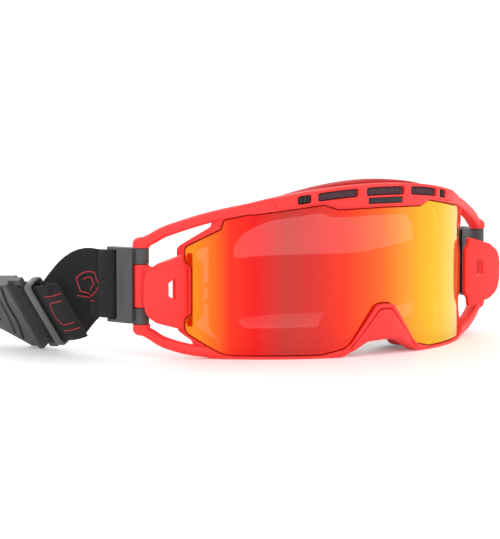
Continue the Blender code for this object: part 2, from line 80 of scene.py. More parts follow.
def make_camera():
    """A long lens, 35 degrees round to the wearer's right and a little above."""
    target = AXIS + Vector((-40.2, -45.1, 41.5)) * MM
    azimuth, elevation, distance = math.radians(-35), math.radians(5.4), 1.3
    away = Vector((math.sin(azimuth), -math.cos(azimuth), math.tan(elevation))).normalized()
    data = bpy.data.cameras.new("camera")
    camera = bpy.data.objects.new("camera", data)
    bpy.context.scene.collection.objects.link(camera)
    camera.location = target + away * distance
    camera.rotation_euler = (-away).to_track_quat("-Z", "Y").to_euler()
    data.sensor_fit = "HORIZONTAL"
    data.sensor_width = SENSOR_WIDTH
    data.lens = SENSOR_WIDTH * distance / VIEW_WIDTH
    data.clip_start = 0.05
    bpy.context.scene.camera = camera


def area_light(name, place, aim, size, power, colour=(1, 1, 1)):
    data = bpy.data.lights.new(name, "AREA")
    data.shape = "RECTANGLE"
    data.size, data.size_y = size
    data.energy = power
    data.color = colour
    light = bpy.data.objects.new(name, data)
    light.location = place
    light.rotation_euler = (Vector(aim) - Vector(place)).to_track_quat("-Z", "Y").to_euler()
    bpy.context.scene.collection.objects.link(light)


def make_studio():
    """A white cyclorama, three soft lights and a bright world."""
    scene = bpy.context.scene
    scene.view_settings.view_transform = "Standard"
    world = bpy.data.worlds.new("studio")
    world.use_nodes = True
    world.node_tree.nodes["Background"].inputs["Color"].default_value = (1, 1, 1, 1)
    world.node_tree.nodes["Background"].inputs["Strength"].default_value = 0.95
    scene.world = world
    area_light("key", (-0.7, -1.1, 1.3), (0, 0, 0.04), (0.9, 0.9), 6)
    area_light("fill", (1.2, -0.8, 0.7), (0, 0, 0.04), (0.8, 0.8), 2.5)
    area_light("back", (0.1, 1.2, 1.2), (0, 0, 0.04), (1.2, 0.6), 5)
    mesh = bmesh.new()
    reach, rise, bend = 3.0, 2.2, 0.6
    rows = [(-reach, 0)] + [(1.6 + bend * math.sin(t), bend * (1 - math.cos(t)))
                            for t in [math.pi / 2 * k / 10 for k in range(11)]] + [(1.6 + bend, rise)]
    rings = [[mesh.verts.new((x, y, z)) for x in (-reach, reach)] for y, z in rows]
    for low, high in zip(rings, rings[1:]):
        mesh.faces.new([low[0], low[1], high[1], high[0]])
    floor = link_mesh("studio_floor", mesh, floor_material())


# ---------------------------------------------------------------- materials


def new_material(name):
    made = bpy.data.materials.new(name)
    made.use_nodes = True
    nodes, links = made.node_tree.nodes, made.node_tree.links
    return made, nodes, links, nodes["Principled BSDF"]


def noise(nodes, links, scale, detail=3, source="Object", distort=0.0):
    """A noise texture in object space, in cycles per metre."""
    where = nodes.new("ShaderNodeTexCoord")
    texture = nodes.new("ShaderNodeTexNoise")
    texture.inputs["Scale"].default_value = scale
    texture.inputs["Detail"].default_value = detail
    texture.inputs["Distortion"].default_value = distort
    links.new(where.outputs[source], texture.inputs["Vector"])
    return texture.outputs["Fac"]


def add_bump(nodes, links, shader, height, strength, distance):
    """Fine surface relief from a height value."""
    bump = nodes.new("ShaderNodeBump")
    bump.inputs["Strength"].default_value = strength
    bump.inputs["Distance"].default_value = distance
    links.new(height, bump.inputs["Height"])
    links.new(bump.outputs["Normal"], shader.inputs["Normal"])


def mapped(nodes, links, value, low, high):
    spread = nodes.new("ShaderNodeMapRange")
    spread.inputs["To Min"].default_value = low
    spread.inputs["To Max"].default_value = high
    links.new(value, spread.inputs["Value"])
    return spread.outputs["Result"]


def mixed_colour(nodes, links, factor, first, second):
    mix = nodes.new("ShaderNodeMix")
    mix.data_type = "RGBA"
    mix.inputs["A"].default_value = (*first, 1)
    mix.inputs["B"].default_value = (*second, 1)
    links.new(factor, mix.inputs["Factor"])
    return mix.outputs["Result"]


def floor_material():
    """The white floor, a little self-lit so that it meets the background."""
    made, nodes, links, shader = new_material("pale_floor")
    shader.inputs["Base Color"].default_value = (0.93, 0.93, 0.93, 1)
    shader.inputs["Emission Color"].default_value = (1, 1, 1, 1)
    shader.inputs["Emission Strength"].default_value = 0.13
    links.new(mapped(nodes, links, noise(nodes, links, 3), 0.45, 0.55), shader.inputs["Roughness"])
    return made


def plastic(name, colour, shade, roughness, grain=900, bump=0.12, coat=0.0):
    """Moulded plastic: a fine spark-eroded texture, with slow changes of shade and gloss."""
    made, nodes, links, shader = new_material(name)
    slow = noise(nodes, links, 45, 2)
    links.new(mixed_colour(nodes, links, slow, colour, shade), shader.inputs["Base Color"])
    fine = noise(nodes, links, grain * 2.2, 2)
    links.new(mapped(nodes, links, fine, roughness - 0.06, roughness + 0.08), shader.inputs["Roughness"])
    shader.inputs["Coat Weight"].default_value = coat
    shader.inputs["Coat Roughness"].default_value = 0.3
    shader.inputs["IOR"].default_value = 1.5
    add_bump(nodes, links, shader, fine, bump, 0.00012)
    return made


def lens_material():
    """An iridescent mirror coat whose colour runs with the angle round the wrap, over a tinted sheet."""
    made, nodes, links, shader = new_material("mirror_coat")
    where = nodes.new("ShaderNodeTexCoord")
    split = nodes.new("ShaderNodeSeparateXYZ")
    links.new(where.outputs["Object"], split.inputs["Vector"])
    across = nodes.new("ShaderNodeMapRange")
    across.inputs["From Min"].default_value = AXIS.x - 0.090
    across.inputs["From Max"].default_value = AXIS.x + 0.090
    links.new(split.outputs["X"], across.inputs["Value"])
    sway = nodes.new("ShaderNodeMath")
    sway.operation = "MULTIPLY_ADD"
    sway.inputs[1].default_value = 0.5
    links.new(mapped(nodes, links, split.outputs["Z"], -0.03, 0.03), sway.inputs[0])
    links.new(across.outputs["Result"], sway.inputs[2])
    ramp = nodes.new("ShaderNodeValToRGB")
    stops = [
        (0.00, (1.0, 0.30, 0.02)), (0.03, (1.0, 0.20, 0.02)), (0.07, (1.0, 0.045, 0.02)),
        (0.12, (0.90, 0.018, 0.018)), (0.20, (0.62, 0.055, 0.045)), (0.27, (0.75, 0.045, 0.04)),
        (0.36, (1.0, 0.055, 0.03)), (0.48, (1.0, 0.16, 0.03)), (0.58, (1.0, 0.34, 0.035)),
        (0.70, (1.0, 0.56, 0.01)), (0.85, (1.0, 0.70, 0.0)), (1.00, (1.0, 0.55, 0.0)),
    ]
    while len(ramp.color_ramp.elements) < len(stops):
        ramp.color_ramp.elements.new(0.5)
    for element, (at, colour) in zip(ramp.color_ramp.elements, stops):
        element.position = at
        element.color = (*colour, 1)
    links.new(sway.outputs[0], ramp.inputs["Fac"])
    links.new(ramp.outputs["Color"], shader.inputs["Base Color"])
    shader.inputs["Metallic"].default_value = 0.9
    links.new(mapped(nodes, links, noise(nodes, links, 14, 3), 0.06, 0.10), shader.inputs["Roughness"])
    shader.inputs["Alpha"].default_value = 0.78
    return made


def foam_material(name, colour, pores, depth):
    made, nodes, links, shader = new_material(name)
    where = nodes.new("ShaderNodeTexCoord")
    cells = nodes.new("ShaderNodeTexVoronoi")
    cells.inputs["Scale"].default_value = pores
    links.new(where.outputs["Object"], cells.inputs["Vector"])
    dark = tuple(c * 0.35 for c in colour)
    links.new(mixed_colour(nodes, links, mapped(nodes, links, cells.outputs["Distance"], 0, 1), dark, colour),
              shader.inputs["Base Color"])
    shader.inputs["Roughness"].default_value = 0.95
    add_bump(nodes, links, shader, cells.outputs["Distance"], 0.6, depth)
    return made


def fleece_material():
    made, nodes, links, shader = new_material("brushed_fleece")
    pile = noise(nodes, links, 1500, 4, distort=1.2)
    links.new(mixed_colour(nodes, links, pile, (0.008, 0.008, 0.009), (0.05, 0.05, 0.052)),
              shader.inputs["Base Color"])
    shader.inputs["Roughness"].default_value = 1.0
    shader.inputs["Sheen Weight"].default_value = 0.5
    shader.inputs["Sheen Roughness"].default_value = 0.6
    add_bump(nodes, links, shader, pile, 0.8, 0.0004)
    return made


def woven_material(name, dark, light, pitch=0.0006):
    """Woven elastic: warp ribs along the strap crossed by weft picks, in the strap's own UVs in metres."""
    made, nodes, links, shader = new_material(name)
    where = nodes.new("ShaderNodeUVMap")
    where.uv_map = "strap"
    waves = []
    for direction, scale in (("X", 1.0), ("Y", 1.35)):
        wave = nodes.new("ShaderNodeTexWave")
        wave.bands_direction = direction
        wave.inputs["Scale"].default_value = scale / pitch / 6.283
        wave.inputs["Distortion"].default_value = 0.25
        links.new(where.outputs["UV"], wave.inputs["Vector"])
        waves.append(wave.outputs["Fac"])
    both = nodes.new("ShaderNodeMath")
    both.operation = "MULTIPLY"
    links.new(waves[0], both.inputs[0])
    links.new(waves[1], both.inputs[1])
    links.new(mixed_colour(nodes, links, both.outputs[0], dark, light), shader.inputs["Base Color"])
    shader.inputs["Roughness"].default_value = 0.85
    shader.inputs["Sheen Weight"].default_value = 0.06
    shader.inputs["Sheen Roughness"].default_value = 0.5
    add_bump(nodes, links, shader, both.outputs[0], 0.55, 0.0003)
    return made


def steel_material():
    made, nodes, links, shader = new_material("turned_steel")
    shader.inputs["Base Color"].default_value = (0.55, 0.55, 0.57, 1)
    shader.inputs["Metallic"].default_value = 1.0
    links.new(mapped(nodes, links, noise(nodes, links, 2500, 2), 0.22, 0.4), shader.inputs["Roughness"])
    return made


# ---------------------------------------------------------------- mesh helpers


def link_mesh(name, mesh, look):
    data = bpy.data.meshes.new(name)
    mesh.to_mesh(data)
    mesh.free()
    data.materials.append(look)
    made = bpy.data.objects.new(name, data)
    bpy.context.scene.collection.objects.link(made)
    return made


def add_piece(name, mesh, look, body, replaced=(), smooth=40):
    """A finished piece from a bmesh in goggle millimetres, riding on a body."""
    bmesh.ops.remove_doubles(mesh, verts=mesh.verts, dist=0.002)
    bmesh.ops.recalc_face_normals(mesh, faces=mesh.faces)
    bmesh.ops.scale(mesh, verts=mesh.verts, vec=(MM, MM, MM))
    bmesh.ops.translate(mesh, verts=mesh.verts, vec=AXIS)
    made = link_mesh(name, mesh, look)
    made.data.shade_smooth()
    made.data.set_sharp_from_angle(angle=math.radians(smooth))
    if body:
        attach(made, body)
    if replaced:
        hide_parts(*replaced)
    return made


def arc(degrees):
    return WRAP * math.radians(degrees)


def wrapped(s, z, radius):
    angle = s / WRAP
    return Vector((radius * math.sin(angle), -radius * math.cos(angle), z))


def mirrored(half):
    """Half an outline, on the +x side, completed with its mirror image."""
    return list(half) + [(-x, y, r) for x, y, r in reversed(half) if x > 0]


def grown(corners, distance):
    """An outline moved outwards by a distance, or inwards when it is negative."""
    moved = []
    for i, (x, y, r) in enumerate(corners):
        here = Vector((x, y))
        first = (here - Vector(corners[i - 1][:2])).normalized()
        second = (Vector(corners[(i + 1) % len(corners)][:2]) - here).normalized()
        out_first = Vector((first.y, -first.x))
        bisector = (out_first + Vector((second.y, -second.x))).normalized()
        reach = distance / max(0.35, bisector.dot(out_first))
        turn = first.x * second.y - first.y * second.x
        radius = r + distance if turn > 0 else r - distance
        moved.append((x + bisector.x * reach, y + bisector.y * reach, max(0.3, radius) if r else 0))
    return moved


def rounded(corners, steps=6):
    """An outline with each corner turned into an arc of its own radius."""
    points = []
    for i, (x, y, r) in enumerate(corners):
        here = Vector((x, y))
        to_before = Vector(corners[i - 1][:2]) - here
        to_after = Vector(corners[(i + 1) % len(corners)][:2]) - here
        angle = to_before.angle(to_after)
        if r <= 0 or angle > math.radians(172):
            points.append(here)
            continue
        reach = min(r / math.tan(angle / 2), 0.45 * to_before.length, 0.45 * to_after.length)
        start = here + to_before.normalized() * reach
        end = here + to_after.normalized() * reach
        for k in range(steps + 1):
            t = k / steps
            points.append(start * (1 - t) ** 2 + here * 2 * t * (1 - t) + end * t * t)
    return points


def shell(corners, holes, inner, outer, edge=0.5, strip=2.0, steps=6):
    """A wrapped plate with every edge rounded. inner and outer are radii, or functions of (s, z)."""
    flat = bmesh.new()
    edges = []
    for loop in [grown(corners, -edge), *[grown(hole, edge) for hole in holes]]:
        verts = [flat.verts.new((p.x, 0, p.y)) for p in rounded(loop, steps)]
        edges += [flat.edges.new((verts[i - 1], verts[i])) for i in range(len(verts))]
    bmesh.ops.triangle_fill(flat, edges=edges, use_beauty=True, normal=(0, -1, 0))
    step = arc(strip)
    reach = max(abs(v.co.x) for v in flat.verts)
    for k in range(-int(reach / step), int(reach / step) + 1):
        geometry = flat.verts[:] + flat.edges[:] + flat.faces[:]
        bmesh.ops.bisect_plane(flat, geom=geometry, dist=1e-4, plane_co=(k * step, 0, 0), plane_no=(1, 0, 0))
    bmesh.ops.recalc_face_normals(flat, faces=flat.faces)
    return rounded_solid(flat, inner, outer, edge)


def outward(vert):
    """The direction out of the sheet at a boundary vertex, with a mitre's length."""
    total = Vector((0, 0, 0))
    for edge in vert.link_edges:
        if len(edge.link_faces) != 1:
            continue
        along = (edge.verts[1].co - edge.verts[0].co).normalized()
        side = along.cross(Vector((0, 1, 0)))
        if side.dot(edge.link_faces[0].calc_center_median() - edge.verts[0].co) > 0:
            side = -side
        total += side
    if total.length < 1e-6:
        return total
    return total / max(0.6, total.length_squared / 2)


def rounded_solid(flat, inner, outer, edge, place=None, depth_of=None):
    """Two copies of the flat sheet joined by a rounded edge, on the wrap or where place puts (x, z, share)."""
    flat.verts.ensure_lookup_table()
    flat.verts.index_update()
    solid = bmesh.new()
    if not place:
        at_inner = inner if callable(inner) else (lambda s, z: inner)
        at_outer = outer if callable(outer) else (lambda s, z: outer)

        def place(x, z, share):
            return wrapped(x, z, at_inner(x, z) * (1 - share) + at_outer(x, z) * share)

        def depth_of(x):
            return at_outer(x, 40) - at_inner(x, 40)

    border = {v.index: outward(v) for v in flat.verts if any(len(e.link_faces) == 1 for e in v.link_edges)}
    caps = [[], []]
    for v in flat.verts:
        caps[0].append(solid.verts.new(place(v.co.x, v.co.z, 1)))
        caps[1].append(solid.verts.new(place(v.co.x, v.co.z, 0)))
    rings = {}
    for i, direction in border.items():
        here = flat.verts[i].co
        turns = [math.radians(turn) for turn in EDGE_TURN[1:]]
        chain = [caps[0][i]]
        for front in (True, False):
            for turn in turns if front else reversed(turns):
                out = here + direction * edge * math.sin(turn)
                drop = edge * (1 - math.cos(turn)) / abs(depth_of(here.x))
                chain.append(solid.verts.new(place(out.x, out.z, 1 - drop if front else drop)))
        chain.append(caps[1][i])
        rings[i] = chain
    for face in flat.faces:
        ring = [v.index for v in face.verts]
        solid.faces.new([caps[0][i] for i in ring])
        solid.faces.new([caps[1][i] for i in reversed(ring)])
    for border_edge in flat.edges:
        if len(border_edge.link_faces) != 1:
            continue
        a, b = (rings[v.index] for v in border_edge.verts)
        for k in range(len(a) - 1):
            solid.faces.new([a[k], b[k], b[k + 1], a[k + 1]])
    flat.free()
    return solid


def smooth_path(points, per_span):
    """A smooth curve through given points."""
    padded = [points[0] * 2 - points[1], *points, points[-1] * 2 - points[-2]]
    found = []
    for i in range(1, len(padded) - 2):
        a, b, c, d = padded[i - 1 : i + 3]
        for k in range(per_span):
            t = k / per_span
            found.append(0.5 * (2 * b + (c - a) * t + (2 * a - 5 * b + 4 * c - d) * t**2
                                + (3 * b - a - 3 * c + d) * t**3))
    return [*found, points[-1]]


def lofted(rings, closed=False):
    """A skin over rings of equal point counts."""
    mesh = bmesh.new()
    made = [[mesh.verts.new(p) for p in ring] for ring in rings]
    pairs = list(zip(made, made[1:]))
    if closed:
        pairs.append((made[-1], made[0]))
    for first, second in pairs:
        for i in range(len(first)):
            mesh.faces.new([first[i - 1], first[i], second[i], second[i - 1]])
    if not closed:
        mesh.faces.new(list(reversed(made[0])))
        mesh.faces.new(made[-1])
    return mesh


def join_meshes(meshes):
    """One bmesh holding several."""
    whole = bmesh.new()
    for part in meshes:
        data = bpy.data.meshes.new("part")
        part.to_mesh(data)
        part.free()
        whole.from_mesh(data)
        bpy.data.meshes.remove(data)
    return whole


# ---------------------------------------------------------------- outlines on the unrolled wrap


def frame_top(degrees):
    return 88.6 - 0.006 * degrees * degrees


def face_top(degrees):
    return 90.2 - 0.0085 * degrees * degrees


def lens_corners():
    return mirrored([
        (0, 27.2, 0), (5, 26.8, 4), (19.5, 5.4, 11), (36, 1.9, 8),
        (arc(46), 1.9, 20), (arc(57), 13, 9), (arc(57), 19.5, 2), (arc(55), 22.5, 2),
        (arc(55), 46.5, 2), (arc(57), 49.5, 2), (arc(57), 56.5, 3), (arc(46.6), 66, 2),
        (arc(45.9), 70.6, 2), (arc(40), 73.2, 3), (arc(37), 73.5, 3), (arc(18.5), 78.2, 2),
        (arc(14.5), 75.6, 2), (0, 76.1, 0),
    ])


def frame_corners():
    top = [(arc(d), frame_top(d), 0) for d in range(40, -1, -4)]
    return mirrored([
        (0, 8.0, 0), (10, 7.4, 8), (25, 0, 10), (arc(50), 0, 6), (arc(54), 5, 3), (arc(55), 9, 2),
        (arc(59.3), 14, 5), (arc(59.3), 56.6, 4), (arc(49.6), 67.4, 2), (arc(48.5), 74.6, 3), *top,
    ])


def face_corners():
    top = [(arc(d), face_top(d), 0) for d in range(40, -1, -4)]
    return mirrored([
        (0, 24, 0), (7, 23, 6), (21, 2, 8), (arc(44), 2, 14), (arc(51.5), 14, 8),
        (arc(51.5), 60, 8), (arc(46), 71, 6), *top,
    ])


def band_outline(start, end, low, high, top_curve, radius):
    count = max(2, round(abs(end - start) / 3))
    angles = [start + (end - start) * i / count for i in range(count + 1)]
    corners = [(arc(d), top_curve(d) - low, 0) for d in angles]
    corners += [(arc(d), top_curve(d) - high, 0) for d in reversed(angles)]
    for i in (0, count, count + 1, 2 * count + 1):
        corners[i] = (*corners[i][:2], radius)
    return corners


VENTS = {"left": (-20.5, -9.0), "middle": (-6.4, 6.4), "right": (9.0, 20.5)}
GRILLES = {"left": (-26.0, -22.4), "right": (22.4, 26.0)}


def vent_corners(angles):
    return band_outline(*angles, 5.9, 1.6, frame_top, 1.4)


def insert_corners():
    return [(-arc(5.8), 78.4, 0.6), (arc(5.8), 78.4, 0.6), (arc(5.8), 81.6, 0.6), (-arc(5.8), 81.6, 0.6)]


def face_depth(s, z):
    return 90.5 + 5.0 * min(1.0, abs(s) / arc(50)) ** 2


def offset_depth(distance):
    return lambda s, z: face_depth(s, z) + distance


# ---------------------------------------------------------------- the front


def make_rim(looks):
    """The rim, its arms and their bosses in one moulding, cut away where the lens drops in."""
    lens = lens_corners()
    vents = [vent_corners(a) for a in [*VENTS.values(), *GRILLES.values()]]
    rim = shell(frame_corners(), [grown(lens, 0.5), insert_corners(), *vents], 101.2, 108.35, 0.4)
    rim = add_piece("rim", rim, looks["red"], "goggles", ["outer_frame"])
    unite(rim, shell(grown(lens, 1.6), [grown(lens, -4)], 101.0, 104.2, 0.3))
    for side, _ in SIDES:
        for upper in (True, False):
            unite(rim, arm(side, upper))
            heights = (57.0, 62.2) if upper else (12.0, 17.8)
            unite(rim, boss(side, heights, upper))
            unite(rim, ring_cylinder((side * PIN_X, PIN_Y), 1.85, 0, 5, 70, 0.1), "DIFFERENCE")
    unite(rim, shell(grown(lens, 0.3), [], 104.3, 116, 0.2), "DIFFERENCE")
    smoothed(rim, 32)


def boss(side, heights, upper, rounding=3.4, radius=4.5):
    """A solid round boss with a domed outer end."""
    low, high = heights
    profile = [(0, low), (radius, low)]
    for k in range(7):
        t = math.pi / 2 * k / 6
        profile.append((radius - rounding * (1 - math.cos(t)), high - rounding * (1 - math.sin(t))))
    profile.append((0, high))
    if not upper:
        profile = [(r, low + high - z) for r, z in reversed(profile)]
    return turned((side * PIN_X, PIN_Y), profile)


def turned(centre, profile, sides=40):
    """A solid of revolution about an upright axis, from a profile of (radius, height) that starts and ends on it."""
    mesh = bmesh.new()
    start, *middle, end = profile
    ends = [mesh.verts.new((*centre, start[1])), mesh.verts.new((*centre, end[1]))]
    rings = []
    for r, z in middle:
        turns = [2 * math.pi * k / sides for k in range(sides)]
        rings.append([mesh.verts.new((centre[0] + r * math.cos(t), centre[1] + r * math.sin(t), z)) for t in turns])
    for first, second in zip(rings, rings[1:]):
        for i in range(sides):
            mesh.faces.new([first[i - 1], first[i], second[i], second[i - 1]])
    for i in range(sides):
        mesh.faces.new([ends[0], rings[0][i - 1], rings[0][i]])
        mesh.faces.new([ends[1], rings[-1][i], rings[-1][i - 1]])
    return mesh


def unite(piece, tool_mesh, operation="UNION"):
    """Joins a bmesh in goggle millimetres to a finished piece, or cuts it away, for good."""
    bmesh.ops.remove_doubles(tool_mesh, verts=tool_mesh.verts, dist=0.002)
    bmesh.ops.recalc_face_normals(tool_mesh, faces=tool_mesh.faces)
    bmesh.ops.scale(tool_mesh, verts=tool_mesh.verts, vec=(MM, MM, MM))
    bmesh.ops.translate(tool_mesh, verts=tool_mesh.verts, vec=AXIS)
    tool = link_mesh("tool", tool_mesh, piece.data.materials[0])
    change = piece.modifiers.new("join", "BOOLEAN")
    change.operation = operation
    change.solver = "MANIFOLD"
    change.object = tool
    graph = bpy.context.evaluated_depsgraph_get()
    joined = bpy.data.meshes.new_from_object(piece.evaluated_get(graph))
    piece.modifiers.clear()
    old, piece.data = piece.data, joined
    bpy.data.meshes.remove(old)
    bpy.data.objects.remove(tool, do_unlink=True)


def smoothed(piece, angle):
    piece.data.shade_smooth()
    piece.data.set_sharp_from_angle(angle=math.radians(angle))


def arm(side, upper):
    """An outrigger arm, a rounded bar that springs from the rim and runs back to its boss."""
    if upper:
        route = [(64, -82.5, 77), (74, -75.5, 74.6), (84, -68, 71.6), (93, -61.5, 68.2), (101, -56, 64.8),
                 (106.5, -52.4, 61.2), (111, -49.9, 58.9)]
    else:
        route = [(66, -80, 2.9), (74, -74, 3.0), (84, -66.5, 3.6), (93, -60.5, 5.4), (101.5, -55, 8.8),
                 (106.5, -52.2, 12.4), (111, -49.9, 15.1)]
    path = smooth_path([Vector((side * x, y, z)) for x, y, z in route], 8)
    rings = []
    for i, point in enumerate(path):
        along = (path[min(i + 1, len(path) - 1)] - path[max(i - 1, 0)]).normalized()
        out = along.cross(Vector((0, 0, 1))).normalized()
        rise = out.cross(along).normalized()
        ring = []
        for k in range(24):
            t = 2 * math.pi * k / 24
            c, s = math.cos(t), math.sin(t)
            square = (abs(c) ** 3 + abs(s) ** 3) ** (-1 / 3)
            ring.append(point + out * 3.6 * c * square + rise * 2.85 * s * square)
        rings.append(ring)
    return lofted(rings)


def ring_cylinder(centre, outer, inner, low, high, edge, place=None, sides=40):
    """An upright tube with rounded rims. A hole radius of 0 makes it solid."""
    if not inner:
        return turned(centre, [(0, low), (outer - edge, low), (outer, low + edge), (outer, high - edge),
                               (outer - edge, high), (0, high)], sides)
    profile = [(outer, low + edge), (outer, high - edge), (outer - edge * 0.3, high - edge * 0.3),
               (outer - edge, high), (inner, high), (inner, low), (outer - edge, low),
               (outer - edge * 0.3, low + edge * 0.3)]
    rings = []
    for k in range(sides):
        t = 2 * math.pi * k / sides
        rings.append([Vector((centre[0] + r * math.cos(t), centre[1] + r * math.sin(t), z)) for r, z in profile])
    mesh = lofted(rings, closed=True)
    if place:
        bmesh.ops.transform(mesh, matrix=place, verts=mesh.verts)
    return mesh


def make_brow(looks):
    top = [(arc(d), frame_top(d) - 0.35, 0) for d in (32.5, *range(28, -1, -4))]
    corners = mirrored([
        (0, 77.4, 0), (arc(14), 77.1, 2), (arc(18.5), 79.8, 2), (arc(31.5), 76.6, 1.5), *top,
    ])
    holes = [vent_corners(a) for a in [*VENTS.values(), *GRILLES.values()]]
    cover = shell(corners, [*holes, insert_corners()], 108.2, 109.9, 0.3)
    add_piece("brow_panel", cover, looks["red"], "goggles", ["brow_cover"])
    insert = shell(grown(insert_corners(), -0.2), [], 105, 109.5, 0.35)
    add_piece("brow_inlay", insert, looks["gloss"], "goggles", ["brow_insert"])
    for name, angles in VENTS.items():
        pad = shell(grown(vent_corners(angles), -0.25), [], 103, 108.6, 0.5)
        add_piece(f"vent_pad_{name}", pad, looks["vent"], "goggles", [f"vent_foam_{name}"])
        ridges = []
        span = angles[1] - angles[0]
        for share in (0.1, 0.24, 0.62, 0.8, 0.92):
            at = angles[0] + span * share
            ridges.append(shell(band_outline(at - 0.22, at + 0.22, 5.6, 1.9, frame_top, 0.1), [], 108, 108.9, 0.12))
        add_piece(f"vent_ribs_{name}", join_meshes(ridges), looks["vent"], "goggles")
    for name, angles in GRILLES.items():
        grille = shell(grown(vent_corners(angles), -0.25), [], 103, 108.2, 0.4)
        add_piece(f"grille_{name}", grille, looks["gloss"], "goggles", [f"vent_grille_{name}"])
        for k in range(3):
            at = angles[0] + (angles[1] - angles[0]) * (k + 0.5) / 3
            bar = shell(band_outline(at - 0.25, at + 0.25, 5.6, 1.9, frame_top, 0.1), [], 107, 109.2, 0.15)
            add_piece(f"grille_bar_{name}_{k}", bar, looks["gloss"], "goggles")


def nose_corners():
    return mirrored([
        (0, 8.9, 0), (10, 8.2, 8), (20, 2.4, 3), (19.5, 5.2, 2), (14.5, 11, 6), (3.6, 23.6, 2.5), (0, 23.8, 0),
    ])


def nose_rise(s, z):
    return 1.3 * max(0.0, 1 - abs(s) / 22) ** 0.7


def make_nose(looks):
    """A bead that follows the lens's arch, then a groove, then the moulded bridge inside it."""
    panel = shell(nose_corners(), [], 108.0, lambda s, z: 109.3 + nose_rise(s, z), 0.55)
    add_piece("nose_panel", panel, looks["red"], "goggles", ["nose_bridge"])
    arch = [(24.5, 3.75, 1), (19.9, 7.0, 9), (5.3, 26.2, 3.6), (0, 26.6, 0)]
    under = [(0, 24.5, 0), (3.9, 24.2, 3), (16.4, 9.0, 9), (24.5, 1.6, 1)]
    under_left = [(-x, z, r) for x, z, r in reversed(under)]
    arch_left = [(-x, z, r) for x, z, r in reversed(arch[:-1])]
    outline = [*under_left, *under[1:], *arch, *arch_left]
    bead = shell(outline, [], 108.0, lambda s, z: 109.0 + 0.9 * nose_rise(s, z), 0.45)
    add_piece("nose_bead", bead, looks["red"], "goggles")


def radial_normals(piece):
    """Gives the faces that lie on the wrap its exact normals, so that long triangles don't show."""
    mesh = piece.data
    normals = [corner.vector.copy() for corner in mesh.corner_normals]
    for face in mesh.polygons:
        for k in face.loop_indices:
            away = mesh.vertices[mesh.loops[k].vertex_index].co - AXIS
            away.z = 0
            away.normalize()
            facing = face.normal.dot(away)
            if abs(facing) > 0.98:
                normals[k] = away if facing > 0 else -away
    mesh.normals_split_custom_set(normals)


def make_lens(looks):
    """The mirror lens and the dark seal behind its edge."""
    sheet = shell(lens_corners(), [], 105.9, WRAP, 0.35, strip=1.5, steps=10)
    made = add_piece("mirror_lens", sheet, looks["lens"], "lens_body", ["lens"], smooth=30)
    radial_normals(made)
    outline = lens_corners()
    gasket = shell(grown(outline, -0.8), [grown(outline, -3.2)], 104.65, 105.6, 0.3)
    add_piece("lens_seal", gasket, looks["gloss"], "goggles", ["lens_gasket"])


def make_face(looks):
    """The soft face frame and the three layers of foam."""
    outline = face_corners()
    wall = shell(outline, [grown(outline, -3.6)], offset_depth(0.3), 100.8, 0.8)
    add_piece("face_wall", wall, looks["rubber_red"], "goggles", ["face_frame"])
    layers = (
        ("backing_ring", -0.1, -4.2, 1.2, looks["foam"], "face_foam", ["foam_backing"]),
        ("core_ring", -4.1, -10.2, 2.6, looks["foam"], "face_foam", ["foam_core"]),
        ("fleece_ring", -9.6, -12.3, 1.3, looks["fleece"], "fleece", ["foam_fleece"]),
    )
    for name, front, back, edge, look, slot, stands in layers:
        plate = shell(grown(outline, -2.2), [grown(outline, -11)], offset_depth(back), offset_depth(front), edge)
        ring = add_piece(name, plate, look, "goggles", stands, smooth=60)


# ---------------------------------------------------------------- levers and clips


TAB_FRONT = -63.9  # front face of a lens lock's tab, along Y
TAB_THICK = 3.2


def upright_plate(corners, holes, near, far, side, edge=0.5, spacing=3.0):
    """A plate that faces forwards: corners are x and height, near and far are values of Y or functions of x."""
    flat = bmesh.new()
    edges = []
    for loop in [grown(corners, -edge), *[grown(hole, edge) for hole in holes]]:
        verts = [flat.verts.new((p.x, 0, p.y)) for p in rounded(loop, 6)]
        edges += [flat.edges.new((verts[i - 1], verts[i])) for i in range(len(verts))]
    bmesh.ops.triangle_fill(flat, edges=edges, use_beauty=True, normal=(0, -1, 0))
    low, high = min(v.co.x for v in flat.verts), max(v.co.x for v in flat.verts)
    for k in range(1, int((high - low) / spacing)):
        geometry = flat.verts[:] + flat.edges[:] + flat.faces[:]
        bmesh.ops.bisect_plane(flat, geom=geometry, dist=1e-4, plane_co=(low + k * spacing, 0, 0),
                               plane_no=(1, 0, 0))
    bmesh.ops.recalc_face_normals(flat, faces=flat.faces)
    at_near = near if callable(near) else (lambda x: near)
    at_far = far if callable(far) else (lambda x: far)

    def place(x, z, share):
        """From the far face at share 0 to the near face at share 1."""
        return Vector((x * side, at_near(x) * share + at_far(x) * (1 - share), z))

    return rounded_solid(flat, 0, 1, edge, place, lambda x: at_far(x) - at_near(x))


def tab_outline():
    """The tab seen from the front: x and height, with corner radii."""
    return [
        (91.9, 22.8, 1), (94.0, 19.4, 1), (94.3, 15.0, 1), (108.8, 19.0, 6), (115.2, 23.0, 9), (117.0, 30.0, 9),
        (117.0, 39.5, 9), (115.2, 45.2, 9), (108.8, 49.4, 6), (94.3, 53.4, 1), (94.0, 49.6, 1), (91.9, 46.2, 1),
    ]


def tab_front(x):
    """The tab's face bows forward a little between its ends."""
    return TAB_FRONT - 0.5 + 1.4 * ((x - 104) / 13) ** 2


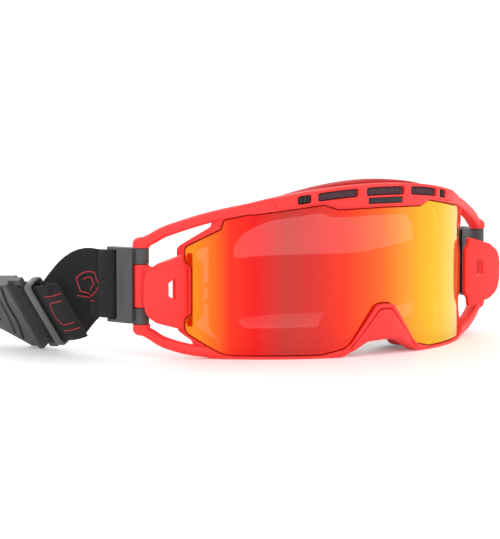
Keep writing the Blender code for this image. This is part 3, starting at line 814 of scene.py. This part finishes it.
def make_lever(side, name, looks):
    """The lens lock: a bowed tab with a window, a pressed ridge and a knuckle on the pin behind it."""
    body = f"lock_{name}"
    back = TAB_FRONT + TAB_THICK
    window = [(99.4, 30.6, 0.3), (103.6, 33.0, 0.3), (103.6, 39.4, 0.3), (99.4, 41.8, 0.3)]
    plate = upright_plate(tab_outline(), [window], tab_front, back, side)
    add_piece(f"lever_{name}", plate, looks["red"], body, [f"lens_lock_{name}"], smooth=30)
    low, high = 26.35, 48.45
    web = [(side * x, y) for x, y in ((PIN_X - 3, back - 0.8), (PIN_X + 1.2, back - 0.8),
                                      (PIN_X + 1.2, PIN_Y - 2.5), (PIN_X - 3, PIN_Y - 2.5))]
    add_piece(f"lever_web_{name}", prism_z(web, low + 0.8, high - 0.8), looks["red"], body)
    knuckle = ring_cylinder((side * PIN_X, PIN_Y), 4.2, 1.85, low, high, 0.8)
    add_piece(f"lever_knuckle_{name}", knuckle, looks["red"], body, smooth=50)
    shoulder = [(94.8, 48.4, 0.3), (107.5, 45.4, 0.3), (107.5, 46.0, 0.3), (94.8, 49.0, 0.3)]
    lower = [(94.8, 20.2, 0.3), (107.5, 23.2, 0.3), (107.5, 23.8, 0.3), (94.8, 20.8, 0.3)]
    for label, loop in (("upper", shoulder), ("lower", lower)):
        loop = loop if label == "lower" else loop[::-1]
        ridge = upright_plate(loop, [], lambda x: tab_front(x) - 0.22, back - 1, side, 0.12)
        add_piece(f"lever_ridge_{label}_{name}", ridge, looks["red"], body)


def prism_z(points, low, high, place=None, edge=0.0):
    """A plan outline extruded between two heights, its rims chamfered twice to look rounded."""
    mesh = bmesh.new()
    levels = [(low, edge), (low + 0.3 * edge, 0.3 * edge), (low + edge, 0)] if edge else [(low, 0)]
    levels += [(high - edge, 0), (high - 0.3 * edge, 0.3 * edge), (high, edge)] if edge else [(high, 0)]
    rings = []
    for z, inset in levels:
        loop = inset_loop(points, inset)
        rings.append([mesh.verts.new((x, y, z)) for x, y in loop])
    for first, second in zip(rings, rings[1:]):
        for i in range(len(first)):
            mesh.faces.new([first[i - 1], first[i], second[i], second[i - 1]])
    mesh.faces.new(list(reversed(rings[0])))
    mesh.faces.new(rings[-1])
    if place:
        bmesh.ops.transform(mesh, matrix=place, verts=mesh.verts)
    return mesh


def inset_loop(points, distance):
    """The loop moved inwards, whichever way round it runs."""
    if not distance:
        return [(p[0], p[1]) for p in points]
    area = sum(points[i - 1][0] * points[i][1] - points[i][0] * points[i - 1][1] for i in range(len(points)))
    turn = 1 if area > 0 else -1
    moved = []
    for i, here in enumerate(points):
        here = Vector(here[:2])
        before = (here - Vector(points[i - 1][:2])).normalized()
        after = (Vector(points[(i + 1) % len(points)][:2]) - here).normalized()
        normal = Vector((-before.y - after.y, before.x + after.x)) * turn
        normal = normal.normalized() if normal.length > 1e-6 else Vector((-before.y, before.x)) * turn
        lean = max(0.6, normal.dot(Vector((-before.y, before.x)) * turn))
        moved.append(tuple(here + normal * distance / lean))
    return moved


def clip_matrix(side):
    """Clip space: +x runs from the pin along the strap, +y points outwards, z is height."""
    turn = Matrix.Rotation(math.radians(112 if side < 0 else 76), 4, "Z")
    flip = Matrix.Diagonal((1, 1 if side < 0 else -1, 1, 1))
    return Matrix.Translation((side * PIN_X, PIN_Y, 0)) @ turn @ flip


def circle(radius, centre=(0, 0), sides=32):
    turns = [2 * math.pi * i / sides for i in range(sides)]
    return [(centre[0] + radius * math.cos(t), centre[1] + radius * math.sin(t)) for t in turns]


def make_clip_details(side, name, looks):
    """Raised ribs and a fine edge line on the clip's outer face, where the original carries lettering."""
    place = clip_matrix(side)
    low, high = 18.2, 56.6
    ribs = [prism_z([(7.0, 3.4), (12.2, 2.6), (12.2, 4.1), (7.0, 4.6)], z - 0.7, z + 0.7, place, 0.3)
            for z in (29.5, 33.0, 36.5, 40.0, 43.5)]
    ribs.append(prism_z([(2.0, 4.55), (7.5, 4.4), (7.5, 5.4), (2.0, 5.4)], low + 0.8, high - 0.8, place, 0.3))
    add_piece(f"clip_ribs_{name}", join_meshes(ribs), looks["nylon"], f"clip_{name}_body")


# ---------------------------------------------------------------- straps


def strap_mesh(path, widths, width=STRAP_WIDTH, thick=STRAP_THICK, steps=22):
    """A strap with soft rolled edges along a path, with UVs in metres: u across it, v along it."""
    mesh = bmesh.new()
    profile = []
    half, t = width / 2, thick / 2
    for k in range(steps + 1):
        across = -1 + 2 * k / steps
        lift = t * (1 - abs(across) ** 14 * 0.55) + 0.10 * (1 - abs(across) ** 6)
        profile.append((across * half, lift))
    loop = profile + [(x, -y) for x, y in reversed(profile)]
    rings, run = [], [0.0]
    for i, point in enumerate(path):
        if i:
            run.append(run[-1] + (point - path[i - 1]).length)
        along = (path[min(i + 1, len(path) - 1)] - path[max(i - 1, 0)]).normalized()
        across = (widths[i] - along * widths[i].dot(along)).normalized()
        out = along.cross(across)
        rings.append([mesh.verts.new(point + across * x + out * y) for x, y in loop])
    layer = mesh.loops.layers.uv.new("strap")
    count = len(loop)
    for r in range(len(rings) - 1):
        for i in range(count):
            j = (i + 1) % count
            face = mesh.faces.new([rings[r][i], rings[r][j], rings[r + 1][j], rings[r + 1][i]])
            spots = [(loop[i][0], run[r]), (loop[j][0], run[r]), (loop[j][0], run[r + 1]), (loop[i][0], run[r + 1])]
            for corner, (u, v) in zip(face.loops, spots):
                corner[layer].uv = (u * MM, v * MM)
    for ring, end in ((rings[0], 0), (rings[-1], -1)):
        face = mesh.faces.new(ring if end else list(reversed(ring)))
        for corner in face.loops:
            corner[layer].uv = (0, run[end] * MM)
    return mesh, run[-1]


def frame_matrix(centre, along, out, up):
    rows = Matrix((along, out, up)).transposed().to_4x4()
    return Matrix.Translation(centre) @ rows


BAR_CENTRE = Vector((-138.0, 8.0, 20.6))
BUCKLE_ROLL = math.radians(33)
STRAP_PITCH = math.radians(-4)


def buckle_axes():
    """Directions along the strap towards the buckle, outwards, and up its width."""
    along = Vector((-0.17, 0.985, 0)).normalized()
    along = (along * math.cos(STRAP_PITCH) + Vector((0, 0, 1)) * math.sin(STRAP_PITCH)).normalized()
    out = Vector((-along.y, along.x, 0)).normalized()
    up = -out.cross(along)
    turned = up * math.cos(BUCKLE_ROLL) + out * math.sin(BUCKLE_ROLL)
    return along, turned.cross(along).normalized(), turned


FOLD_RADIUS = 2.6
TAIL_LENGTH = 25.0
TAIL_STEPS = 20


def left_path():
    """The strap's middle line from the clip's bar to its fold round the buckle's bar and back along the tail."""
    along, out, up = buckle_axes()
    place = clip_matrix(-1)
    inner = BAR_CENTRE - out * FOLD_RADIUS
    straight = inner - along * 16.5
    level = place @ Vector((34.5, -0.2, STRAP_Z))
    lead = [place @ Vector((21.9, -0.2, STRAP_Z)), place @ Vector((28, -0.2, STRAP_Z))]
    curve = smooth_path([lead[-1], level, level.lerp(straight, 0.5), straight - along * 1.5, straight], 8)
    main = [lead[0], *curve, inner - along * 12, inner - along * 8, inner - along * 4, inner]
    widths = []
    for i in range(len(main)):
        share = min(1.0, max(0.0, (i - 2) / (len(curve) - 3)))
        widths.append(Vector((0, 0, 1)).lerp(up, share).normalized())
    turns = [math.pi * k / 14 for k in range(1, 14)]
    fold = [BAR_CENTRE + (along * math.sin(t) - out * math.cos(t)) * FOLD_RADIUS for t in turns]
    outer = BAR_CENTRE + out * FOLD_RADIUS
    tail = []
    for k in range(TAIL_STEPS + 1):
        back = TAIL_LENGTH * k / TAIL_STEPS
        sink = 1.6 * min(1.0, back / 7) + 0.035 * max(0.0, back - 15) ** 2
        tail.append(outer - along * back - out * sink)
    path = [*main, *fold, *tail]
    return path, [*widths, *[up] * (len(fold) + len(tail))]


def strap_lines(path, widths, marks, name, looks, body):
    """Printed lines on a strap's face. Each mark runs through (distance along, distance across) in millimetres."""
    run = [0.0]
    for a, b in zip(path, path[1:]):
        run.append(run[-1] + (b - a).length)

    def on_strap(along, across, side):
        i = max(k for k in range(len(run) - 1) if run[k] <= along or k == 0)
        t = (along - run[i]) / (run[i + 1] - run[i])
        heading = (path[i + 1] - path[i]).normalized()
        width = widths[i].lerp(widths[i + 1], t)
        width = (width - heading * width.dot(heading)).normalized()
        out = heading.cross(width) * side
        return path[i].lerp(path[i + 1], t) + width * across + out * (STRAP_THICK / 2 + 0.1), out

    threads = []
    for points, side, wide in marks:
        dense = smooth_path([Vector((a, c, 0)) for a, c in points], 6) if len(points) > 2 else [
            Vector((*points[0], 0)).lerp(Vector((*points[1], 0)), k / 8) for k in range(9)]
        rings = []
        for i, spot in enumerate(dense):
            here, out = on_strap(spot.x, spot.y, side)
            ahead = on_strap(*(dense[min(i + 1, len(dense) - 1)].xy), side)[0]
            behind = on_strap(*(dense[max(i - 1, 0)].xy), side)[0]
            across = (ahead - behind).normalized().cross(out).normalized()
            lift = out * 0.06
            rings.append([here - across * wide / 2 - lift, here + across * wide / 2 - lift,
                          here + across * wide * 0.35 + lift, here - across * wide * 0.35 + lift])
        threads.append(lofted(rings))
    return add_piece(name, join_meshes(threads), looks["print"], body)


def hexagon(along, across, radius, first, last):
    """Sides first to last of a hexagon of line marks on a strap."""
    spots = [(along + radius * math.cos(math.radians(60 * k)), across + radius * math.sin(math.radians(60 * k)))
             for k in range(7)]
    return [(spots[k : k + 2], -1, 0.55) for k in range(first, last)]


def world(point):
    return AXIS + point * MM


def make_left_strap(looks):
    """The left strap with its fold, tail and printed lines."""
    path, widths = left_path()
    mesh, length = strap_mesh(path, widths)
    strap = add_piece("strap_band_left", mesh, looks["webbing"], None, ["strap_left", "strap_sleeve_left"])
    marks = [*hexagon(11.5, -1, 7.2, 0, 6), *hexagon(11.5, -1, 3.8, 1, 5), *hexagon(11.5, -1, 10.0, 4, 6)]
    lines = strap_lines(path, widths, marks, "strap_lines_left", looks, None)
    total = sum((b - a).length for a, b in zip(path, path[1:]))
    tail = total - TAIL_LENGTH - 0.4
    marks = [([(tail + 14.5, 11), (tail + 24.5, 11)], 1, 0.55), ([(tail + 24.5, -11), (tail + 14.5, -11)], 1, 0.55),
             ([(tail + 23, 7), (tail + 16.5, 7)], 1, 0.55), ([(tail + 16.5, 7), (tail + 14, 3.5)], 1, 0.55),
             ([(tail + 14, 3.5), (tail + 14, -3.5)], 1, 0.55), ([(tail + 14, -3.5), (tail + 16.5, -7)], 1, 0.55),
             ([(tail + 16.5, -7), (tail + 23, -7)], 1, 0.55)]
    tail_lines = strap_lines(path, widths, marks, "strap_lines_tail", looks, "goggles")
    for piece in (strap, lines):
        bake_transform(piece)


def loop_frame(place, at, middle, half_out, half_up, wall=0.8, reach=2.9):
    """A moulded loop round the strap, rounded at its corners and along its edges."""
    corners = [(-half_out, -half_up, 2.2), (half_out, -half_up, 2.2), (half_out, half_up, 2.2),
               (-half_out, half_up, 2.2)]
    path = rounded(corners, 5)
    rings = []
    for i, spot in enumerate(path):
        tangent = (path[(i + 1) % len(path)] - path[i - 1]).normalized()
        normal = Vector((tangent.y, -tangent.x))
        ring = []
        for k in range(16):
            c, s = math.cos(math.pi * k / 8), math.sin(math.pi * k / 8)
            square = (abs(c) ** 4 + abs(s) ** 4) ** -0.25
            side = spot + normal * wall * s * square
            ring.append(place @ Vector((at + reach * c * square, middle + side.x, side.y)))
        rings.append(ring)
    return lofted(rings, closed=True)


def buckle_place():
    """Buckle space: along the strap, outwards, and up the bar."""
    return frame_matrix(BAR_CENTRE, *buckle_axes())


def buckle_prism(points, low, high, edge=0.4):
    """An outline in the strap's plane (along, up), thick in the outward direction."""
    to_local = Matrix(((1, 0, 0, 0), (0, 0, 1, 0), (0, 1, 0, 0), (0, 0, 0, 1)))
    return prism_z(points, low, high, buckle_place() @ to_local, edge)


def band_points(points, wide):
    """The outline of a band of constant width along a polyline."""
    spots = [Vector((*p, 0)) for p in points]
    spots = smooth_path(spots, 6)
    left, right = [], []
    for i, spot in enumerate(spots):
        heading = (spots[min(i + 1, len(spots) - 1)] - spots[max(i - 1, 0)]).normalized()
        normal = Vector((-heading.y, heading.x, 0)) * wide / 2
        left.append((spot + normal).xy)
        right.append((spot - normal).xy)
    return [tuple(p) for p in left] + [tuple(p) for p in reversed(right)]


def make_buckle(looks):
    """Ridges, a cheek panel, black discs painted as the shade inside a field of holes, and grip serrations on the
    buckle's socket and buttons.
    """
    spine = buckle_prism([(6.4, -21.0), (9.4, -20.2), (9.4, 20.8), (6.4, 20.8)], -4.6, 5.4, 0.9)
    add_piece("buckle_spine", spine, looks["nylon"], "goggles", smooth=50)
    ridge = buckle_prism(band_points([(12.5, 19), (15.5, 8), (15.6, -4), (19.0, -15)], 1.3), 3.8, 4.9, 0.35)
    add_piece("buckle_ridge", ridge, looks["gloss"], "goggles", smooth=50)
    cheek = [(19.0, 18.0), (20.0, 2.0), (22.5, -11.5), (33.0, -7.0), (46.0, -2.5), (47.0, 12.0), (38.0, 18.0)]
    add_piece("buckle_cheek", buckle_prism(cheek, 3.8, 4.9, 0.5), looks["nylon"], "goggles")
    # Painted shade: small flat-black discs, a little proud of the cheek, stand in for the shade inside the buckle's
    # holes.
    dots = []
    for row in range(4):
        for column in range(4):
            centre = (25.0 + 3.1 * column + 0.8 * row, 7.5 - 3.1 * row)
            dots.append(buckle_prism(circle(0.85, centre, 14), 4.6, 5.02, 0.1))
    add_piece("buckle_hole_shade_discs", join_meshes(dots), looks["hole_shade"], "goggles")
    sets = (("upper", [24.2 + 1.9 * k for k in range(7)], (22.2, 23.2)),
            ("lower", [10.2 + 1.9 * k for k in range(5)], (-21.75, -20.8)))
    for name, spots, rise in sets:
        bars = [buckle_prism([(x - 0.5, rise[0]), (x + 0.5, rise[0]), (x + 0.5, rise[1]), (x - 0.5, rise[1])],
                             -1.9, 1.9, 0.2) for x in spots]
        add_piece(f"button_grip_{name}", join_meshes(bars), looks["nylon"], f"button_{name}")
    loop = loop_frame(buckle_place(), -8.2, -0.6, 4.4, 19.0, reach=2.4)
    add_piece("adjuster_loop_left", loop, looks["nylon_light"], "adjuster_left_body",
              ["adjuster_left"], smooth=60)


def make_sleeve(side, name, looks):
    """The strap end turned round the clip's bar and stitched down on itself."""
    place = clip_matrix(side)
    spots = [(25.4, 1.35), (23.4, 2.2), (20.5, 2.75), (16.6, 2.65), (15.5, 1.6), (15.2, 0.0), (15.5, -1.6),
             (16.6, -2.8), (20.5, -2.85), (23.4, -2.5), (25.4, -1.75)]
    path = smooth_path([place @ Vector((x, y, STRAP_Z)) for x, y in spots], 6)
    mesh, length = strap_mesh(path, [Vector((0, 0, 1))] * len(path), width=STRAP_WIDTH - 0.4, thick=1.3)
    loop = add_piece(f"strap_loop_{name}", mesh, looks["webbing"], f"clip_{name}_body")
    return loop


RIGHT_ROUTE = [
    (119.9, -13.0, 36.8), (120.6, -7.0, 35.0), (120.6, 8, 30.6), (118.6, 22, 26.0), (113.0, 37, 22),
    (103, 52, 18.6), (88, 66, 17.8), (68, 74, 17.6), (48, 75, 17.6), (30, 68, 17.6),
]


def make_right_strap(looks):
    """The right strap, from its clip to the plug."""
    place = clip_matrix(1)
    points = [place @ Vector((22, -0.2, STRAP_Z)), place @ Vector((28, -0.2, STRAP_Z))]
    points += [Vector(p) for p in RIGHT_ROUTE]
    path = smooth_path(points, 8)
    mesh, length = strap_mesh(path, [Vector((0, 0, 1))] * len(path))
    strap = add_piece("strap_band_right", mesh, looks["webbing"], None,
                      ["strap_right", "strap_sleeve_right"])
    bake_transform(strap)


def dress_cad(looks):
    """The CAD nodes that stay: softened edges and finished materials."""
    finish = {
        "clip_left": "nylon", "clip_right": "nylon", "adjuster_right": "nylon_light",
        "buckle_socket": "nylon", "buckle_plug": "nylon", "buckle_button_upper": "nylon",
        "buckle_button_lower": "nylon", "pivot_pin_left": "steel", "pivot_pin_right": "steel",
    }
    for name, look in finish.items():
        node = frame["nodes"][name]
        node.data.materials.clear()
        node.data.materials.append(looks[look])
        if look != "steel":
            soften = node.modifiers.new("soften", "BEVEL")
            soften.width = 0.45 * MM
            soften.segments = 2
            soften.limit_method = "ANGLE"
            soften.angle_limit = math.radians(40)
            soften.use_clamp_overlap = True


def main():
    make_camera()
    make_studio()
    looks = {
        "red": plastic("red_nylon", (0.95, 0.032, 0.028), (0.88, 0.024, 0.022), 0.45),
        "rubber_red": plastic("dark_red_rubber", (0.55, 0.012, 0.014), (0.45, 0.01, 0.012), 0.62),
        "gloss": plastic("black_gloss", (0.006, 0.0055, 0.006), (0.012, 0.011, 0.012), 0.3, bump=0.05),
        "nylon": plastic("dark_nylon", (0.058, 0.059, 0.062), (0.07, 0.071, 0.075), 0.46, grain=1200, bump=0.2),
        "nylon_light": plastic("grey_nylon", (0.085, 0.086, 0.09), (0.11, 0.111, 0.115), 0.36, grain=1200, bump=0.15),
        # Painted shade: the flat black of the buckle's hole discs.
        "hole_shade": plastic("painted_hole_shade", (0.006, 0.006, 0.006), (0.01, 0.01, 0.01), 0.8, grain=1200),
        "vent": foam_material("vent_foam_fabric", (0.105, 0.055, 0.07), 1800, 0.0002),
        "foam": foam_material("face_foam_cells", (0.03, 0.028, 0.03), 1400, 0.0003),
        "fleece": fleece_material(),
        "webbing": woven_material("woven_elastic", (0.003, 0.003, 0.0035), (0.010, 0.010, 0.011)),
        "print": plastic("printed_red", (0.5, 0.02, 0.03), (0.6, 0.03, 0.04), 0.6, grain=1500, bump=0.3),
        "steel": steel_material(),
        "lens": lens_material(),
    }
    make_rim(looks)
    make_brow(looks)
    make_nose(looks)
    make_lens(looks)
    make_face(looks)
    for side, name in SIDES:
        make_lever(side, name, looks)
        make_clip_details(side, name, looks)
        make_sleeve(side, name, looks)
    make_left_strap(looks)
    make_buckle(looks)
    make_right_strap(looks)
    dress_cad(looks)


main()
